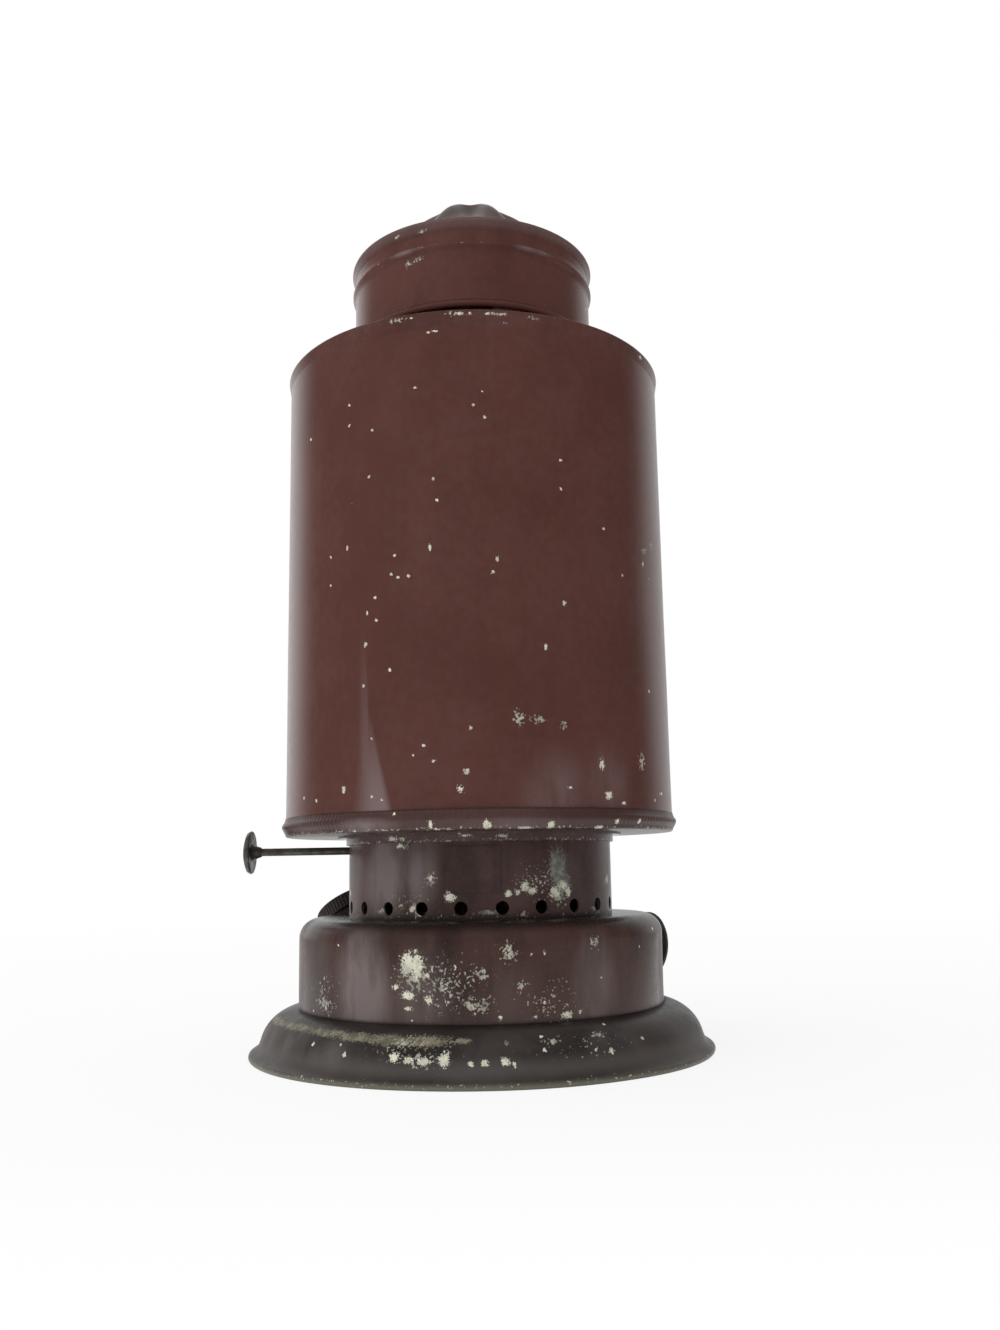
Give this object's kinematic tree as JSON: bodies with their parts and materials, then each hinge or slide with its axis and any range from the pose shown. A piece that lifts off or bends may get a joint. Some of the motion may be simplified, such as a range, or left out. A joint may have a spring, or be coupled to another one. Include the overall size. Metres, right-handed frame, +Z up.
{
  "type": "darkroom lantern",
  "caption": "Oil-burning darkroom lantern: round tin house with a ruby window and vent cap, lifting off an oil font with air-holed collar, flat-wick burner and finger loop",
  "frame": {"origin": "Centre of the base's underside, on the lantern's upright axis, where it stands on the table", "axes": "+Z is up along the lantern's axis, +Y points out of the ruby window, -X points along the wick spindle to the thumb knob"},
  "size_m": [0.1355, 0.133, 0.2591],
  "materials": {
    "japan": "worn maroon japan on tinplate, half gloss",
    "japan_dull": "worn dull maroon japan on tinplate, chipped to bare tin",
    "washer_leather": "oiled leather",
    "burner_brass": "tarnished brass",
    "wick_cotton": "woven cotton",
    "dark_iron": "dark oiled iron",
    "ruby": "deep ruby glass"
  },
  "bodies": {
    "base": {"base_skirt": "japan_dull", "font_drum": "japan_dull", "font_bottom": "japan_dull", "filler_neck": "japan_dull", "finger_loop": "japan_dull", "gallery_collar": "japan_dull", "burner_ring": "burner_brass", "burner_basket": "burner_brass", "air_screen": "burner_brass", "wick_tube": "burner_brass", "spindle_bracket": "burner_brass", "flame_dome": "burner_brass"},
    "spindle": {"wick_spindle": "dark_iron", "wick_wheels": "dark_iron", "wick_knob": "dark_iron"},
    "wick": {"wick": "wick_cotton"},
    "cap_washer": {"filler_washer": "washer_leather"},
    "cap": {"filler_cap": "japan"},
    "lamp_house": {"socket_ring": "japan", "house_floor": "japan", "house_shell": "japan", "house_shoulder": "japan", "window_frame": "japan", "flue_neck": "japan", "drum_stays": "japan", "vent_drum": "japan", "vent_lid": "japan", "vent_crown": "japan"},
    "glass": {"ruby_glass": "ruby"}
  },
  "joints": [
    {"name": "house_lift", "type": "slide", "parent": "base", "child": "lamp_house", "axis": [0, 0, 1], "range_m": [0, 0.1]},
    {"name": "glass_slide", "type": "slide", "parent": "lamp_house", "child": "glass", "axis": [0, 0, 1], "range_m": [0, 0.096]},
    {"name": "spindle_turn", "type": "hinge", "parent": "base", "child": "spindle", "pos_m": [-0.038, -0.0052, 0.057], "axis": [1, 0, 0], "range_deg": [-114, 85]},
    {"name": "wick_lift", "type": "slide", "parent": "base", "child": "wick", "axis": [0, 0, 1], "range_m": [-0.008, 0.006]},
    {"name": "cap_lift", "type": "slide", "parent": "base", "child": "cap_washer", "axis": [-0.4287, 0.3115, 0.848], "range_m": [0, 0.0061]},
    {"name": "cap_turn", "type": "hinge", "parent": "cap_washer", "child": "cap", "pos_m": [-0.03823, 0.02777, 0.0325], "axis": [-0.4287, 0.3115, 0.848], "range_deg": [0, 720]}
  ],
  "couplings": [
    {"joint": "wick_lift", "follows": "spindle_turn", "m_per_rad": 0.004},
    {"joint": "cap_lift", "follows": "cap_turn", "m_per_rad": 0.00047746}
  ]
}
